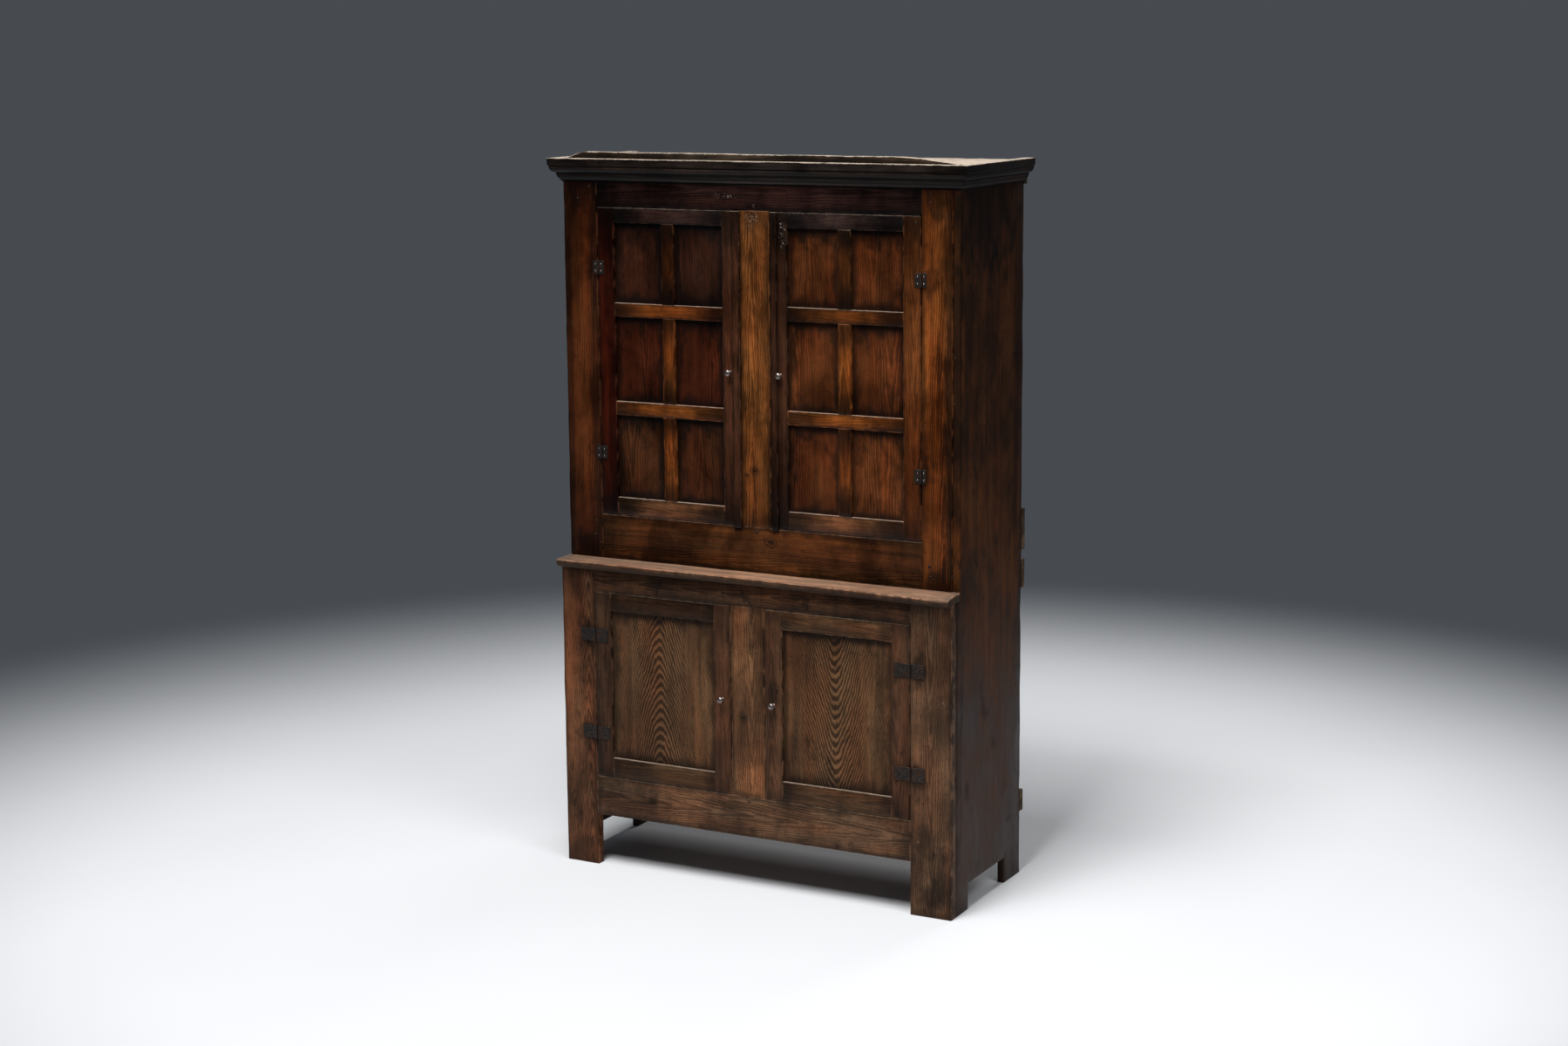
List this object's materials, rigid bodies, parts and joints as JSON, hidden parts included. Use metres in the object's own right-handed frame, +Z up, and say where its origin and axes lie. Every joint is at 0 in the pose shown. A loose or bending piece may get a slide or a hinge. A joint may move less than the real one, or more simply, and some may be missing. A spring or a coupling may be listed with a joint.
{
  "type": "court cupboard",
  "caption": "Two-stage oak court cupboard with a set-back upper case, panelled doors, a waist ledge and a moulded cornice.",
  "frame": {"origin": "on the floor, under the middle of the whole cupboard's box", "axes": "+Z up, the doors face -Y, +X to the right of someone facing the doors"},
  "size_m": [1.206, 0.487, 1.917],
  "materials": {
    "upper_frame_oak": "waxed, worn golden on the stiles",
    "upper_door_oak": "near-black wax over red-brown oak",
    "upper_panel_oak": "dark wax, warmer in the middle",
    "lower_frame_oak": "dry mid-brown, streaked",
    "lower_door_oak": "dry mid-brown",
    "lower_panel_oak": "bold cathedral figure",
    "ledge_oak": "worn bare, chipped front edge",
    "cornice_oak": "near-black wax, dusty top edges",
    "side_oak": "dark at the top, grey-brown below",
    "inside_oak": "dry, unpolished",
    "back_oak": "dry, rough sawn",
    "peg_oak": "dark end grain",
    "wrought_iron": "dark forged iron",
    "knob_metal": "worn bright"
  },
  "bodies": {
    "case": {"back_battens": "back_oak", "back_boards": "back_oak", "cornice_front": "cornice_oak", "cornice_returns": "cornice_oak", "floor_board": "inside_oak", "frame_hinge_leaves": "wrought_iron", "frame_pegs": "peg_oak", "left_side": "side_oak", "lower_bottom_rail": "lower_frame_oak", "lower_centre_stile": "lower_frame_oak", "lower_left_stile": "lower_frame_oak", "lower_right_stile": "lower_frame_oak", "lower_top_rail": "lower_frame_oak", "right_side": "side_oak", "shelf_cleats": "inside_oak", "shelves": "inside_oak", "top_board": "cornice_oak", "top_upstand": "cornice_oak", "upper_bottom_rail": "upper_frame_oak", "upper_centre_stile": "upper_frame_oak", "upper_left_stile": "upper_frame_oak", "upper_right_stile": "upper_frame_oak", "upper_top_rail": "upper_frame_oak", "waist_ledge": "ledge_oak"},
    "upper_left_door": {"upper_left_door_bottom_rail": "upper_door_oak", "upper_left_door_closing_stile": "upper_door_oak", "upper_left_door_closing_strip": "upper_door_oak", "upper_left_door_hinge_leaves": "wrought_iron", "upper_left_door_hinge_stile": "upper_door_oak", "upper_left_door_mid_rails": "upper_door_oak", "upper_left_door_muntins": "upper_door_oak", "upper_left_door_panels": "upper_panel_oak", "upper_left_door_top_rail": "upper_door_oak"},
    "upper_right_door": {"upper_right_door_bottom_rail": "upper_door_oak", "upper_right_door_closing_stile": "upper_door_oak", "upper_right_door_closing_strip": "upper_door_oak", "upper_right_door_hinge_leaves": "wrought_iron", "upper_right_door_hinge_stile": "upper_door_oak", "upper_right_door_mid_rails": "upper_door_oak", "upper_right_door_muntins": "upper_door_oak", "upper_right_door_panels": "upper_panel_oak", "upper_right_door_top_rail": "upper_door_oak"},
    "lower_left_door": {"lower_left_door_bottom_rail": "lower_door_oak", "lower_left_door_closing_stile": "lower_door_oak", "lower_left_door_hinge_leaves": "wrought_iron", "lower_left_door_hinge_stile": "lower_door_oak", "lower_left_door_panel": "lower_panel_oak", "lower_left_door_top_rail": "lower_door_oak"},
    "lower_right_door": {"lock_case": "wrought_iron", "lower_right_door_bottom_rail": "lower_door_oak", "lower_right_door_closing_stile": "lower_door_oak", "lower_right_door_hinge_leaves": "wrought_iron", "lower_right_door_hinge_stile": "lower_door_oak", "lower_right_door_panel": "lower_panel_oak", "lower_right_door_top_rail": "lower_door_oak"},
    "upper_left_knob": {"upper_left_door_knob": "knob_metal"},
    "upper_right_knob": {"upper_right_door_knob": "knob_metal"},
    "lower_left_knob": {"lower_left_door_knob": "knob_metal"},
    "lower_right_knob": {"lower_right_door_knob": "knob_metal"},
    "lock_bolt": {"lock_bolt": "wrought_iron"}
  },
  "joints": [
    {"name": "upper_left_door_hinge", "type": "hinge", "parent": "case", "child": "upper_left_door", "pos_m": [-0.469, -0.1754, 1.3705], "axis": [0, 0, -1], "range_deg": [0, 170]},
    {"name": "upper_right_door_hinge", "type": "hinge", "parent": "case", "child": "upper_right_door", "pos_m": [0.466, -0.1754, 1.3705], "axis": [0, 0, 1], "range_deg": [0, 170]},
    {"name": "lower_left_door_hinge", "type": "hinge", "parent": "case", "child": "lower_left_door", "pos_m": [-0.472, -0.2229, 0.504], "axis": [0, 0, -1], "range_deg": [0, 170]},
    {"name": "lower_right_door_hinge", "type": "hinge", "parent": "case", "child": "lower_right_door", "pos_m": [0.457, -0.2229, 0.504], "axis": [0, 0, 1], "range_deg": [0, 170]},
    {"name": "upper_left_knob_turn", "type": "hinge", "parent": "upper_left_door", "child": "upper_left_knob", "pos_m": [-0.076, -0.16, 1.35837], "axis": [0, -1, 0], "range_deg": [0, 90]},
    {"name": "upper_right_knob_turn", "type": "hinge", "parent": "upper_right_door", "child": "upper_right_knob", "pos_m": [0.071, -0.16, 1.35837], "axis": [0, 1, 0], "range_deg": [0, 90]},
    {"name": "lower_left_knob_turn", "type": "hinge", "parent": "lower_left_door", "child": "lower_left_knob", "pos_m": [-0.0835, -0.206, 0.50401], "axis": [0, -1, 0], "range_deg": [0, 90]},
    {"name": "lower_right_knob_turn", "type": "hinge", "parent": "lower_right_door", "child": "lower_right_knob", "pos_m": [0.0675, -0.206, 0.50401], "axis": [0, 1, 0], "range_deg": [0, 90]},
    {"name": "lock_bolt_slide", "type": "slide", "parent": "lower_right_door", "child": "lock_bolt", "axis": [-1, 0, 0], "range_m": [0, 0.01]}
  ]
}
